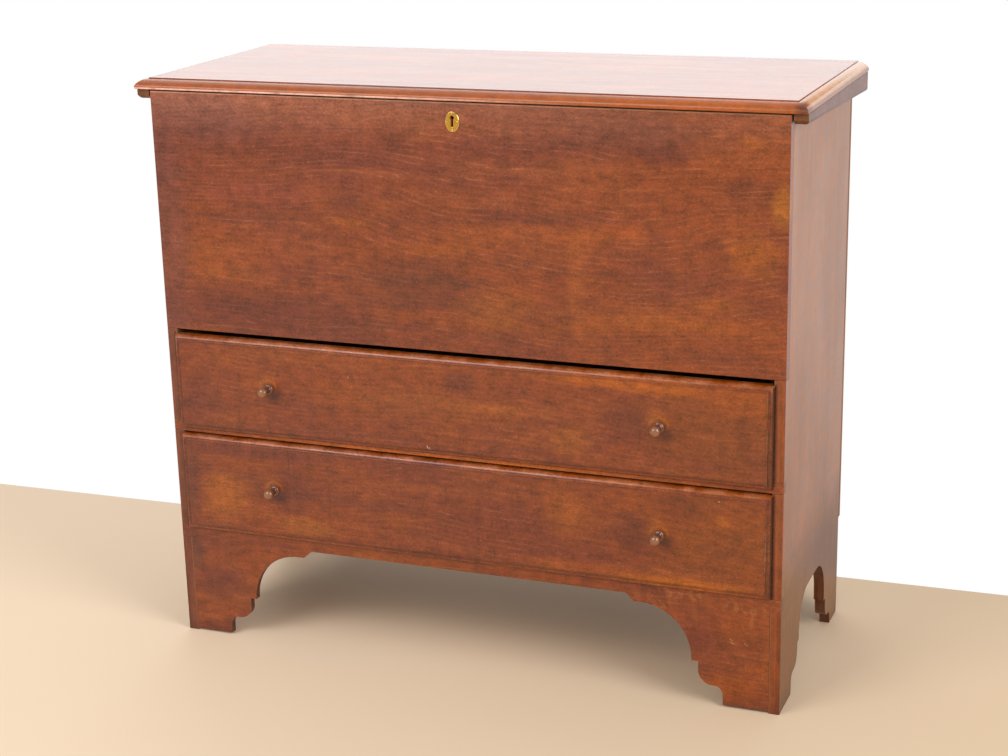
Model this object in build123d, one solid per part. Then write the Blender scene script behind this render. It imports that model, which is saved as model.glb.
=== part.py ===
from build123d import *
import math
import os

# Antique mule chest: a lift-lid chest over two drawers, in millimetres.
# X runs to the viewer's right, the front faces -Y, and Z is up.
# The pieces are drawn with the front edges of the side boards at Y = 0 and are
# moved at the end, so that the origin lies under the middle of the whole object.

# Case
case_width = 1050.0
side_depth = 424.0
side_height = 944.0
board_thickness = 17.5
panel_thickness = 19.0
back_thickness = 12.0
housing_depth = 6.0
apron_thickness = 12.0

# Heights of the front, from the floor up
apron_floor_gap = 3.5
apron_straight_edge = 174.0
apron_top = 193.5
lower_opening_height = 173.0
rail_thickness = 17.0
upper_opening_height = 162.5
panel_top_gap = 2.0

# Inner boards of the case
rail_depth = 60.0
bottom_rail_thickness = 16.0
well_bottom_thickness = 12.0
runner_height = 16.0
runner_width = 18.0
corner_block_size = 22.0
corner_block_foot = 30.0
corner_block_height = 110.0

# Back boards
back_foot = 176.0
back_board_joint = 563.0
back_board_gap = 1.0

# Bracket foot shape, from the outer corner inwards and from the floor up
apron_left_pad = 85.0
apron_right_pad = 91.0
pad_height = 21.0
toe_radius = 14.0
toe_flat = 3.0
knee_radius = 23.5
cusp_height = 73.0
cusp_step = 11.0
apron_shoulder = 161.0
apron_cove = 85.0
shoulder_flat = 10.0
shoulder_run = 13.5

# Arch in the foot of each side board
side_front_pad = 78.0
side_back_pad = 55.0
side_back_drop = 10.0
side_shoulder = 147.0
side_front_cove = 60.0
side_back_cove = 64.0

# Lid and cleats
lid_thickness = 17.0
lid_end_overhang = 25.5
lid_front_overhang = 5.5
lid_mould_width = 18.0
lid_mould_step = 1.6
lid_nose_depth = 13.5
lid_nose_radius = 6.0
lid_under_radius = 2.5
cleat_width = 21.5
cleat_front_height = 16.0
cleat_back_height = 32.0
cleat_front_setback = 8.0
cleat_end_inset = 1.0
cleat_round = 6.0

# Drawers
front_reach = 10.0
front_plug = 10.0
lip_gap = 0.5
side_lip = 2.0
drawer_side_play = 1.5
running_gap = 0.3
upper_bottom_lip = 9.8
upper_top_gap = 8.7
lower_bottom_lip = -running_gap
lower_top_gap = 3.0
edge_mould_radius = 8.0
edge_mould_step = 1.0
drawer_side_thickness = 11.0
drawer_side_drop = 4.0
drawer_back_thickness = 11.0
drawer_rear_gap = 8.0
drawer_bottom_thickness = 8.0
drawer_bottom_rise = 8.0
groove_depth = 5.0
tail_count = 3
tail_length = 8.0
tail_width = 26.0
tail_flare = 4.0

# Knobs
knob_offset = 334.0
knob_shift = -2.0
knob_rise = 2.5
knob_length = 28.0
knob_flange_radius = 8.7
knob_flange_thickness = 3.2
knob_neck_radius = 4.4
knob_tip_radius = 8.2
knob_tenon_radius = 4.5

# Escutcheon and keyhole
keyhole_x = 1.5
escutcheon_drop = 30.0
escutcheon_half_width = 11.7
escutcheon_half_height = 15.8
escutcheon_thickness = 1.2
keyhole_rise = 6.0
keyhole_radius = 3.5
keyhole_slot_width = 4.0
keyhole_slot_drop = 14.0
wood_keyhole_inset = 0.8
pin_head_radius = 1.3
pin_head_height = 0.7
pin_shank_radius = 0.6
pin_length = 7.0
pin_inset = 2.6

# Chest lock
lock_plate_width = 76.0
lock_plate_below = 28.0
lock_plate_thickness = 2.0
lock_plate_rim = 8.0
lock_box_depth = 9.0
lock_wall = 1.5
bolt_width = 28.0
bolt_thickness = 3.0
bolt_height = 18.0
bolt_travel = 12.0
bolt_play = 0.5
bolt_tail_width = 6.0
bolt_tail_drop = 20.0
strike_length = 52.0
strike_width = 12.0
strike_thickness = 1.5
strike_slot_play = 1.0
strike_pocket_spare = 2.5
strike_pocket_play = 1.6

# Lid hinges
hinge_offset = 330.0
hinge_length = 60.0
leaf_thickness = 2.0
lid_leaf_reach = 25.0
case_leaf_drop = 31.0
knuckle_radius = 3.5
knuckle_length = 20.0
knuckle_gap = 0.2
knuckle_clearance = 0.4
hinge_pin_radius = 1.5
pin_running_gap = 0.05

# Screws and nails
screw_head_radius = 3.4
screw_head_height = 1.8
screw_shank_radius = 1.7
screw_slot = 0.8
hinge_screw_length = 10.0
hinge_screw_spacing = 20.0
small_screw_length = 7.0
nail_shank = 2.4
nail_head = 4.6
nail_head_thickness = 1.0
back_nail_length = 38.0
small_nail_length = 26.0
back_nails_per_end = 4
runner_nails = 3
cleat_nails = 4
cleat_nail_bite = 10.0
nail_edge = 40.0

# Places worked out from the sizes above
half_width = case_width / 2
inner_half = half_width - board_thickness
lower_sill = apron_top
rail_bottom = apron_top + lower_opening_height
upper_sill = rail_bottom + rail_thickness
panel_bottom = upper_sill + upper_opening_height
panel_top = side_height - panel_top_gap
back_plane = side_depth + back_thickness
escutcheon_height = panel_top - escutcheon_drop
lock_plate_height = escutcheon_drop + lock_plate_below
lock_box_height = lock_plate_height - lock_plate_thickness - lock_plate_rim
lock_box_width = lock_plate_width - 2 * lock_plate_rim
lid_top = side_height + lid_thickness
lid_half = half_width + lid_end_overhang
hinge_y = back_plane + knuckle_radius + knuckle_clearance
hinge_z = side_height + leaf_thickness / 2
lip_plane = -lip_gap
face_plane = -front_reach
front_y = (front_reach + knob_length - hinge_y - knuckle_radius) / 2

os.makedirs("parts", exist_ok=True)
nodes = {}


def keep(name, *solids):
    """Put a piece, or a group of like pieces, in its place as one node."""
    placed = [solid.moved(Location((0, front_y, 0))) for solid in solids]
    nodes[name] = placed[0] if len(placed) == 1 else Compound(children=placed)


def block(x0, x1, y0, y1, z0, z1):
    """A square-edged board between two corners."""
    size = Box(x1 - x0, y1 - y0, z1 - z0, align=(Align.MIN, Align.MIN, Align.MIN))
    return size.moved(Location((x0, y0, z0)))


def cut(body, *tools):
    """Take tools out of a piece, as a saw or chisel would."""
    for tool in tools:
        body = body - tool
    return body.solids()[0] if len(body.solids()) == 1 else body


def quarter(centre, radius, start, turn):
    """A quarter circle given by its centre, as three points."""
    angles = [math.radians(start + turn * share) for share in (0, 0.5, 1)]
    return [(centre[0] + radius * math.cos(a), centre[1] + radius * math.sin(a)) for a in angles]


def foot_shape(pad, floor, drop, shoulder, cove):
    """Inner edge of a shaped foot, as (inwards, up) points in lists of two or three."""
    toe_centre = (pad + toe_radius, pad_height - drop)
    toe_top = toe_centre[1] + toe_radius
    knee_x = toe_centre[0] + toe_flat
    cusp_x = knee_x + knee_radius
    cusp_z = cusp_height - drop
    cove_x = cusp_x + cusp_step
    return [
        [(pad, floor), (pad, toe_centre[1])],
        quarter(toe_centre, toe_radius, 180, -90),
        [(toe_centre[0], toe_top), (knee_x, toe_top)],
        quarter((knee_x, toe_top + knee_radius), knee_radius, -90, 90),
        [(cusp_x, toe_top + knee_radius), (cusp_x, cusp_z)],
        [(cusp_x, cusp_z), (cove_x, cusp_z)],
        [(cove_x, cusp_z), (cove_x, shoulder - cove)],
        quarter((cove_x + cove, shoulder - cove), cove, 180, -90),
    ]


def sawn(parts, plane, thickness):
    """A board sawn to a closed run of lines and three-point arcs drawn on a plane."""
    edges = []
    for part in parts:
        points = [Vector(*point) for point in part]
        if len(points) == 3:
            edges.append(Edge.make_three_point_arc(*points))
        elif (points[0] - points[1]).length > 1e-6:
            edges.append(Edge.make_line(*points))
    return extrude(plane * Face(Wire(edges)), amount=thickness, dir=plane.z_dir)


def placed_outline(parts, place):
    """Move an outline's points with a function of (inwards, up)."""
    return [[place(*point) for point in part] for part in parts]


def joined(*corners):
    """Straight lines through corners, as an outline."""
    return [[a, b] for a, b in zip(corners, corners[1:])]


def edge_cutter(point, inward, normal, length, width, step, depth, nose):
    """What a moulding plane takes off an edge: a small step, a flat round and a tighter nose."""
    along = inward.cross(normal)
    plane = Plane(origin=point - along * (length / 2), x_dir=inward, z_dir=along)
    spare = 2.0
    fall = depth - step
    radius = ((width - nose) ** 2 + fall**2 - nose**2) / (2 * (fall - nose))
    centre = Vector(width, -step - radius)
    lean = (Vector(nose, -depth) - centre).normalized()
    meeting = centre + lean * radius
    arcs = [Edge.make_tangent_arc(Vector(width, -step), Vector(-1, 0), meeting)]
    if nose > 0:
        arcs.append(Edge.make_tangent_arc(Vector(0, -depth), Vector(0, 1), meeting))
    lines = Polyline((0, -depth), (-spare, -depth), (-spare, spare), (width, spare), (width, -step))
    return extrude(plane * make_face(arcs + lines.edges()), amount=length)


def under_cutter(point, inward, normal, length, radius, thickness):
    """What eases the lower edge of a moulding to a small round."""
    along = inward.cross(normal)
    plane = Plane(origin=point - along * (length / 2), x_dir=inward, z_dir=along)
    spare = 2.0
    arc = CenterArc((radius, radius - thickness), radius, 180, 90)
    lines = Polyline((radius, -thickness), (radius, -thickness - spare), (-spare, -thickness - spare),
                     (-spare, radius - thickness), (0, radius - thickness))
    return extrude(plane * make_face(arc.edges() + lines.edges()), amount=length)


def dome(radius, base, height):
    """The profile of a shallow turned dome, from its rim to the turning axis."""
    sphere = (radius**2 + height**2) / (2 * height)
    centre = base + height - sphere
    rim = math.atan2(base - centre, radius)
    half = (rim + math.pi / 2) / 2
    middle = (sphere * math.cos(half), centre + sphere * math.sin(half))
    return Edge.make_three_point_arc(Vector(radius, base), Vector(*middle), Vector(0, base + height))


def cut_nail(length, place):
    """A square cut nail with its head at the place's origin, driven along its -Z."""
    shank = Box(nail_shank, nail_shank, length, align=(Align.CENTER, Align.CENTER, Align.MAX))
    head = Box(nail_head, nail_head * 0.7, nail_head_thickness, align=(Align.CENTER, Align.CENTER, Align.MAX))
    return (shank + head).solids()[0].moved(place)


def wood_screw(length, place):
    """A slotted countersunk screw, flush at the place's origin, driven along its -Z."""
    profile = Polyline((0, 0), (screw_head_radius, 0), (screw_shank_radius, -screw_head_height),
                       (screw_shank_radius, -length), (0, -length), (0, 0))
    body = revolve(Plane.XZ * make_face(profile), axis=Axis.Z)
    slot = Box(3 * screw_head_radius, screw_slot, screw_slot)
    return (body - slot).solids()[0].moved(place)


def screw_hole(length, place):
    """The countersunk hole that a screw fills."""
    profile = Polyline((0, 0), (screw_head_radius, 0), (screw_shank_radius, -screw_head_height),
                       (screw_shank_radius, -length), (0, -length), (0, 0))
    return revolve(Plane.XZ * make_face(profile), axis=Axis.Z).solids()[0].moved(place)


def facing(x, y, z, normal):
    """A place at a point, whose +Z looks out along a normal."""
    return Plane(origin=(x, y, z), x_dir=(1, 0, 0) if abs(normal[0]) < 0.5 else (0, 1, 0), z_dir=normal).location


def spread(count, start, end):
    """Evenly spaced places from start to end."""
    return [start + (end - start) * (index + 0.5) / count for index in range(count)]


# Divider rail: it crosses the front edges of the side boards and is housed behind them
divider_rail = (
    block(-half_width, half_width, 0, apron_thickness, rail_bottom, upper_sill)
    + block(-inner_half - housing_depth, inner_half + housing_depth, apron_thickness, rail_depth,
            rail_bottom, upper_sill)
).solids()[0]


def bracket_foot(pad):
    """Inner edge of a bracket foot of the apron, up to its straight lower edge."""
    foot = foot_shape(pad, apron_floor_gap, 0, apron_shoulder, apron_cove)
    flat_start = foot[-1][-1]
    flat_end = (flat_start[0] + shoulder_flat, apron_shoulder)
    return foot + [[flat_start, flat_end], [flat_end, (flat_end[0] + shoulder_run, apron_straight_edge)]]


# Apron with its two bracket feet, and ears that lap over the side boards
left_foot = placed_outline(bracket_foot(apron_left_pad), lambda inward, up: (inward - half_width, up))
right_foot = placed_outline(bracket_foot(apron_right_pad), lambda inward, up: (half_width - inward, up))
apron_outline = (
    left_foot
    + right_foot
    + [[left_foot[-1][-1], right_foot[-1][-1]]]
    + joined((half_width - apron_right_pad, apron_floor_gap), (inner_half, apron_floor_gap),
             (inner_half, apron_straight_edge), (half_width, apron_straight_edge), (half_width, apron_top),
             (-half_width, apron_top), (-half_width, apron_straight_edge), (-inner_half, apron_straight_edge),
             (-inner_half, apron_floor_gap), (apron_left_pad - half_width, apron_floor_gap))
)
apron = sawn(apron_outline, Plane.XZ, -apron_thickness)

# Bottom rail behind the apron, and the floor of the well
bottom_rail = block(-inner_half - housing_depth, inner_half + housing_depth, apron_thickness,
                    apron_thickness + rail_depth, apron_top - bottom_rail_thickness, apron_top)
well_bottom = block(-inner_half - housing_depth, inner_half + housing_depth, panel_thickness, side_depth,
                    panel_bottom, panel_bottom + well_bottom_thickness)

# Side boards: an arch in the foot, and a notch for the front panel
front_leg = foot_shape(side_front_pad, 0, 0, side_shoulder, side_front_cove)
back_leg = placed_outline(
    foot_shape(side_back_pad, 0, side_back_drop, side_shoulder, side_back_cove),
    lambda inward, up: (side_depth - inward, up),
)
side_outline = (
    front_leg
    + back_leg
    + [[front_leg[-1][-1], back_leg[-1][-1]]]
    + joined((side_front_pad, 0), (0, 0), (0, panel_bottom), (panel_thickness, panel_bottom),
             (panel_thickness, side_height), (side_depth, side_height), (side_depth, 0),
             (side_depth - side_back_pad, 0))
)
side_boards = []
for place in (-half_width, inner_half):
    board = sawn(side_outline, Plane.YZ, board_thickness).moved(Location((place, 0, 0)))
    side_boards.append(cut(board, divider_rail, apron, bottom_rail, well_bottom))

# Back boards: two wide boards nailed over the rear edges
back_boards = [
    block(-half_width, half_width, side_depth, back_plane, back_foot, back_board_joint),
    block(-half_width, half_width, side_depth, back_plane, back_board_joint + back_board_gap, side_height),
]
back_nail_places = []
for low, high in ((back_foot, back_board_joint), (back_board_joint + back_board_gap, side_height)):
    for side in (-1, 1):
        for height in spread(back_nails_per_end, low, high):
            back_nail_places.append(facing(side * (half_width - board_thickness / 2), back_plane, height, (0, 1, 0)))
back_nails = [cut_nail(back_nail_length, place) for place in back_nail_places]

# Drawer runners, nailed to the inner faces of the side boards
runners = {}
runner_nail_solids = []
for level, sill, start in (("upper", upper_sill, rail_depth), ("lower", lower_sill, apron_thickness + rail_depth)):
    pair = []
    for side in (-1, 1):
        wall = side * inner_half
        edge = side * (inner_half - runner_width)
        runner = block(min(wall, edge), max(wall, edge), start, side_depth, sill - runner_height, sill)
        nails = [
            cut_nail(small_nail_length, facing(edge, y, sill - runner_height / 2, (-side, 0, 0)))
            for y in spread(runner_nails, start, side_depth)
        ]
        pair.append(cut(runner, *nails))
        runner_nail_solids.extend(nails)
    runners[level] = pair

side_boards = [
    cut(board, *[nail for nail in back_nails + runner_nail_solids if nail.center().X * side > 0])
    for side, board in zip((-1, 1), side_boards)
]
back_boards = [
    cut(board, *[nail for nail in back_nails if board.bounding_box().min.Z < nail.center().Z < board.bounding_box().max.Z])
    for board in back_boards
]

# Corner blocks glued behind the bracket feet
corner_blocks = [
    block(x0, x1, apron_thickness, apron_thickness + corner_block_size, corner_block_foot,
          corner_block_foot + corner_block_height)
    for x0, x1 in ((-inner_half, corner_block_size - inner_half), (inner_half - corner_block_size, inner_half))
]


def keyhole(inset, depth_from, depth_to):
    """A round hole with a slot below it, cut along Y."""
    head_z = escutcheon_height + keyhole_rise
    depth = depth_to - depth_from
    middle = (depth_from + depth_to) / 2
    head = Cylinder(keyhole_radius - inset, depth, rotation=(90, 0, 0)).moved(Location((keyhole_x, middle, head_z)))
    half_slot = keyhole_slot_width / 2 - inset
    slot = block(keyhole_x - half_slot, keyhole_x + half_slot, depth_from, depth_to,
                 head_z - keyhole_slot_drop + inset, head_z)
    return (head + slot).solids()[0]


# Escutcheon: an oval brass plate held by four pins
plate_back = Plane(origin=(keyhole_x, 0, escutcheon_height), x_dir=(1, 0, 0), z_dir=(0, -1, 0))
escutcheon = extrude(plate_back * Ellipse(escutcheon_half_width, escutcheon_half_height), amount=escutcheon_thickness)
escutcheon = chamfer(escutcheon.faces().sort_by(Axis.Y)[0].outer_wire().edges(), escutcheon_thickness / 2)
escutcheon = cut(escutcheon, keyhole(0, -escutcheon_thickness - 1, 1))
pin_profile = make_face(
    Polyline((0, -pin_length), (pin_shank_radius, -pin_length), (pin_shank_radius, 0), (pin_head_radius, 0)).edges()
    + [dome(pin_head_radius, 0, pin_head_height)]
    + Line((0, pin_head_height), (0, -pin_length)).edges()
)
brass_pin = revolve(Plane.XZ * pin_profile, axis=Axis.Z).solids()[0]
pin_reach_x = escutcheon_half_width - pin_inset
pin_reach_z = escutcheon_half_height - pin_inset
escutcheon_pins = [
    brass_pin.moved(facing(keyhole_x + dx, -escutcheon_thickness, escutcheon_height + dz, (0, -1, 0)))
    for dx, dz in ((-pin_reach_x, 0), (pin_reach_x, 0), (0, -pin_reach_z), (0, pin_reach_z))
]
escutcheon = cut(escutcheon, *escutcheon_pins)

# Chest lock: a plate and box let into the back of the front panel
box_back = panel_thickness - lock_plate_thickness
box_front = box_back - lock_box_depth
box_top = panel_top - lock_plate_thickness
lock_plate = block(keyhole_x - lock_plate_width / 2, keyhole_x + lock_plate_width / 2, box_back, panel_thickness,
                   panel_top - lock_plate_height, panel_top)
lock_selvedge = block(keyhole_x - lock_plate_width / 2, keyhole_x + lock_plate_width / 2, box_front, box_back,
                      box_top, panel_top)
lock_box = block(keyhole_x - lock_box_width / 2, keyhole_x + lock_box_width / 2, box_front, box_back,
                 box_top - lock_box_height, box_top)
lock_body = (lock_plate + lock_selvedge + lock_box).solids()[0]
lock_hollow = block(keyhole_x - lock_box_width / 2 + lock_wall, keyhole_x + lock_box_width / 2 - lock_wall,
                    box_front + lock_wall, box_back, box_top - lock_box_height + lock_wall, box_top)
bolt_y = (box_front + lock_wall + box_back) / 2
bolt_top = panel_top - bolt_play
bolt_blade = block(keyhole_x - bolt_width / 2, keyhole_x + bolt_width / 2, bolt_y - bolt_thickness / 2,
                   bolt_y + bolt_thickness / 2, bolt_top - bolt_height, bolt_top)
bolt_tail = block(keyhole_x + bolt_width / 2 - bolt_tail_width, keyhole_x + bolt_width / 2,
                  bolt_y - bolt_thickness / 2, bolt_y + bolt_thickness / 2,
                  bolt_top - bolt_height - bolt_tail_drop, bolt_top - bolt_height)
lock_bolt = (bolt_blade + bolt_tail).solids()[0]
bolt_slot = block(keyhole_x - bolt_width / 2 - bolt_play, keyhole_x + bolt_width / 2 + bolt_play,
                  bolt_y - bolt_thickness / 2 - bolt_play, bolt_y + bolt_thickness / 2 + bolt_play,
                  box_top - 1, panel_top + 1)
lock_screw_places = [
    facing(keyhole_x + side * (lock_plate_width / 2 - screw_head_radius - 1), panel_thickness, height, (0, 1, 0))
    for side in (-1, 1)
    for height in (panel_top - 2 * screw_head_radius, panel_top - lock_plate_height + 2 * screw_head_radius)
]
lock_screws = [wood_screw(small_screw_length, place) for place in lock_screw_places]
lock_screw_holes = [screw_hole(small_screw_length, place) for place in lock_screw_places]
lock_case = cut(lock_body, lock_hollow, bolt_slot, keyhole(0, box_front - 1, box_back), *lock_screw_holes)

# Front panel: one wide board across the front of the well
front_panel = block(-half_width, half_width, 0, panel_thickness, panel_bottom, panel_top)
front_panel = cut(front_panel, lock_body, keyhole(wood_keyhole_inset, -1, box_front + 1),
                  *escutcheon_pins, *lock_screw_holes)

# Lid board: moulded along the front and both ends
up = Vector(0, 0, 1)
lid_front = -lid_front_overhang
lid_board = block(-lid_half, lid_half, lid_front, back_plane, side_height, lid_top)
lid_middle = (lid_front + back_plane) / 2
lid_edges = [
    (Vector(0, lid_front, lid_top), Vector(0, 1, 0), 2 * lid_half + 20),
    (Vector(-lid_half, lid_middle, lid_top), Vector(1, 0, 0), 2 * back_plane),
    (Vector(lid_half, lid_middle, lid_top), Vector(-1, 0, 0), 2 * back_plane),
]
for point, inward, length in lid_edges:
    lid_board = cut(
        lid_board,
        edge_cutter(point, inward, up, length, lid_mould_width, lid_mould_step, lid_nose_depth, lid_nose_radius),
        under_cutter(point, inward, up, length, lid_under_radius, lid_thickness),
    )

# Cleats: battens under the ends of the lid, deeper at the back
cleat_start = lid_front + cleat_front_setback
cleat_outer = lid_half - cleat_end_inset
cleat_inner = cleat_outer - cleat_width
cleat_outline = joined(
    (cleat_start, side_height), (cleat_start, side_height - cleat_front_height + cleat_round),
    (cleat_start + cleat_round, side_height - cleat_front_height), (back_plane, side_height - cleat_back_height),
    (back_plane, side_height), (cleat_start, side_height)
)
cleats = []
cleat_nail_solids = []
for side in (-1, 1):
    x0 = min(side * cleat_inner, side * cleat_outer)
    cleat = sawn(cleat_outline, Plane.YZ, cleat_width).moved(Location((x0, 0, 0))).solids()[0]
    long_edges = cleat.faces().sort_by(Axis.Z)[0].edges().filter_by(lambda edge: edge.length > back_plane / 2)
    outer_edge = long_edges.sort_by(lambda edge: -side * edge.center().X)[0]
    cleat = fillet(outer_edge, cleat_round).solids()[0]
    middle = side * (cleat_inner + cleat_width / 2 - 1)
    nails = []
    for y in spread(cleat_nails, cleat_start + nail_edge / 2, back_plane):
        share = (y - cleat_start - cleat_round) / (back_plane - cleat_start - cleat_round)
        head = nail_head_thickness - cleat_front_height - share * (cleat_back_height - cleat_front_height)
        nails.append(cut_nail(cleat_nail_bite - head, facing(middle, y, side_height + head, (0, 0, -1))))
    hollows = [
        block(nail.center().X - nail_head / 2, nail.center().X + nail_head / 2, nail.center().Y - nail_head / 2,
              nail.center().Y + nail_head / 2, side_height - 2 * cleat_back_height, nail.bounding_box().min.Z)
        for nail in nails
    ]
    cleats.append(cut(cleat, *nails, *hollows))
    cleat_nail_solids.extend(nails)

# Lid hinges: a leaf under the lid, a leaf on the back, and a pin through their knuckles
hinge_case_leaves = []
hinge_lid_leaves = []
hinge_pins = []
hinge_case_screws = []
hinge_lid_screws = []
hinge_holes = []


def knuckle(x0, x1, bore):
    """One barrel of a hinge along X, bored for the pin."""
    barrel = Cylinder(knuckle_radius, x1 - x0, rotation=(0, 90, 0)) - Cylinder(bore, x1 - x0, rotation=(0, 90, 0))
    return barrel.moved(Location(((x0 + x1) / 2, hinge_y, hinge_z)))


for side in (-1, 1):
    middle = side * hinge_offset
    left, right = middle - hinge_length / 2, middle + hinge_length / 2
    inner_left, inner_right = middle - knuckle_length / 2, middle + knuckle_length / 2
    bore_clear = Cylinder(hinge_pin_radius, hinge_length + 2, rotation=(0, 90, 0)).moved(
        Location((middle, hinge_y, hinge_z))
    )
    lid_bore_clear = Cylinder(hinge_pin_radius + pin_running_gap, hinge_length + 2, rotation=(0, 90, 0)).moved(
        Location((middle, hinge_y, hinge_z))
    )
    lid_leaf = (
        block(left, right, back_plane - lid_leaf_reach, back_plane, side_height, side_height + leaf_thickness)
        + block(inner_left, inner_right, back_plane, hinge_y, side_height, side_height + leaf_thickness)
        + knuckle(inner_left, inner_right, hinge_pin_radius + pin_running_gap)
    )
    leaf_top = hinge_z - knuckle_radius - knuckle_clearance
    case_leaf = block(left, right, back_plane, back_plane + leaf_thickness, side_height - case_leaf_drop, leaf_top)
    for x0, x1 in ((left, inner_left - knuckle_gap), (inner_right + knuckle_gap, right)):
        case_leaf = case_leaf + block(x0, x1, back_plane, back_plane + leaf_thickness, leaf_top, side_height - 0.5)
        case_leaf = case_leaf + knuckle(x0, x1, hinge_pin_radius)
    lid_places = [
        facing(middle + shift * hinge_screw_spacing, back_plane - lid_leaf_reach / 2, side_height, (0, 0, -1))
        for shift in (-1, 0, 1)
    ]
    case_places = [
        facing(middle + shift * hinge_screw_spacing, back_plane + leaf_thickness,
               (side_height - case_leaf_drop + leaf_top) / 2, (0, 1, 0))
        for shift in (-1, 0, 1)
    ]
    lid_holes = [screw_hole(hinge_screw_length, place) for place in lid_places]
    case_holes = [screw_hole(hinge_screw_length, place) for place in case_places]
    hinge_lid_leaves.append(cut(lid_leaf, lid_bore_clear, *lid_holes))
    hinge_case_leaves.append(cut(case_leaf, bore_clear, *case_holes))
    hinge_pins.append(
        Cylinder(hinge_pin_radius, hinge_length, rotation=(0, 90, 0)).moved(Location((middle, hinge_y, hinge_z)))
    )
    hinge_lid_screws.extend(wood_screw(hinge_screw_length, place) for place in lid_places)
    hinge_case_screws.extend(wood_screw(hinge_screw_length, place) for place in case_places)
    recess = block(left, right, back_plane - lid_leaf_reach, back_plane + 1, side_height - 1,
                   side_height + leaf_thickness)
    lid_board = cut(lid_board, recess, *lid_holes)
    hinge_holes.extend(case_holes)

back_boards[1] = cut(back_boards[1], *hinge_holes)

# Strike plate under the lid, over a pocket for the bolt
strike_x0, strike_x1 = keyhole_x - strike_length / 2, keyhole_x + strike_length / 2
strike_y0, strike_y1 = bolt_y - strike_width / 2, bolt_y + strike_width / 2
strike_slot = block(keyhole_x - bolt_width / 2 - strike_slot_play, keyhole_x + bolt_width / 2 + strike_slot_play,
                    bolt_y - bolt_thickness / 2 - strike_slot_play, bolt_y + bolt_thickness / 2 + strike_slot_play,
                    side_height - 1, side_height + strike_thickness + 1)
strike_pocket = block(keyhole_x - bolt_width / 2 - strike_pocket_play, keyhole_x + bolt_width / 2 + strike_pocket_play,
                      bolt_y - bolt_thickness / 2 - strike_pocket_play,
                      bolt_y + bolt_thickness / 2 + strike_pocket_play,
                      side_height - 1, bolt_top + bolt_travel + strike_pocket_spare)
strike_plate = block(strike_x0, strike_x1, strike_y0, strike_y1, side_height, side_height + strike_thickness)
strike_places = [
    facing(keyhole_x + side * (strike_length / 2 - screw_head_radius - 2), bolt_y, side_height, (0, 0, -1))
    for side in (-1, 1)
]
strike_screws = [wood_screw(small_screw_length, place) for place in strike_places]
strike_holes = [screw_hole(small_screw_length, place) for place in strike_places]
lid_board = cut(lid_board, strike_plate, strike_pocket, *strike_holes, *cleat_nail_solids)
strike_plate = cut(strike_plate, strike_slot, *strike_holes)


def turned_knob(x, z):
    """A turned knob: flange, neck, mushroom tip, and a tenon through the drawer front."""
    tenon = front_reach + front_plug
    neck_place = knob_flange_thickness + 0.28 * knob_length
    tip_place = 0.74 * knob_length
    outline = (
        Polyline((0, -tenon), (knob_tenon_radius, -tenon), (knob_tenon_radius, 0), (knob_flange_radius, 0),
                 (knob_flange_radius, 0.6 * knob_flange_thickness)).edges()
        + ThreePointArc((knob_flange_radius, 0.6 * knob_flange_thickness),
                        (0.8 * knob_flange_radius, 1.1 * knob_flange_thickness),
                        (knob_neck_radius + 1, 1.5 * knob_flange_thickness)).edges()
        + Spline((knob_neck_radius + 1, 1.5 * knob_flange_thickness), (knob_neck_radius, neck_place),
                 (knob_tip_radius, tip_place), tangents=((-0.4, 1), (0, 1))).edges()
        + [dome(knob_tip_radius, tip_place, knob_length - tip_place)]
        + Line((0, knob_length), (0, -tenon)).edges()
    )
    knob = revolve(Plane.XZ * make_face(outline), axis=Axis.Z).solids()[0]
    return knob.moved(facing(x, face_plane, z, (0, -1, 0)))


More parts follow.
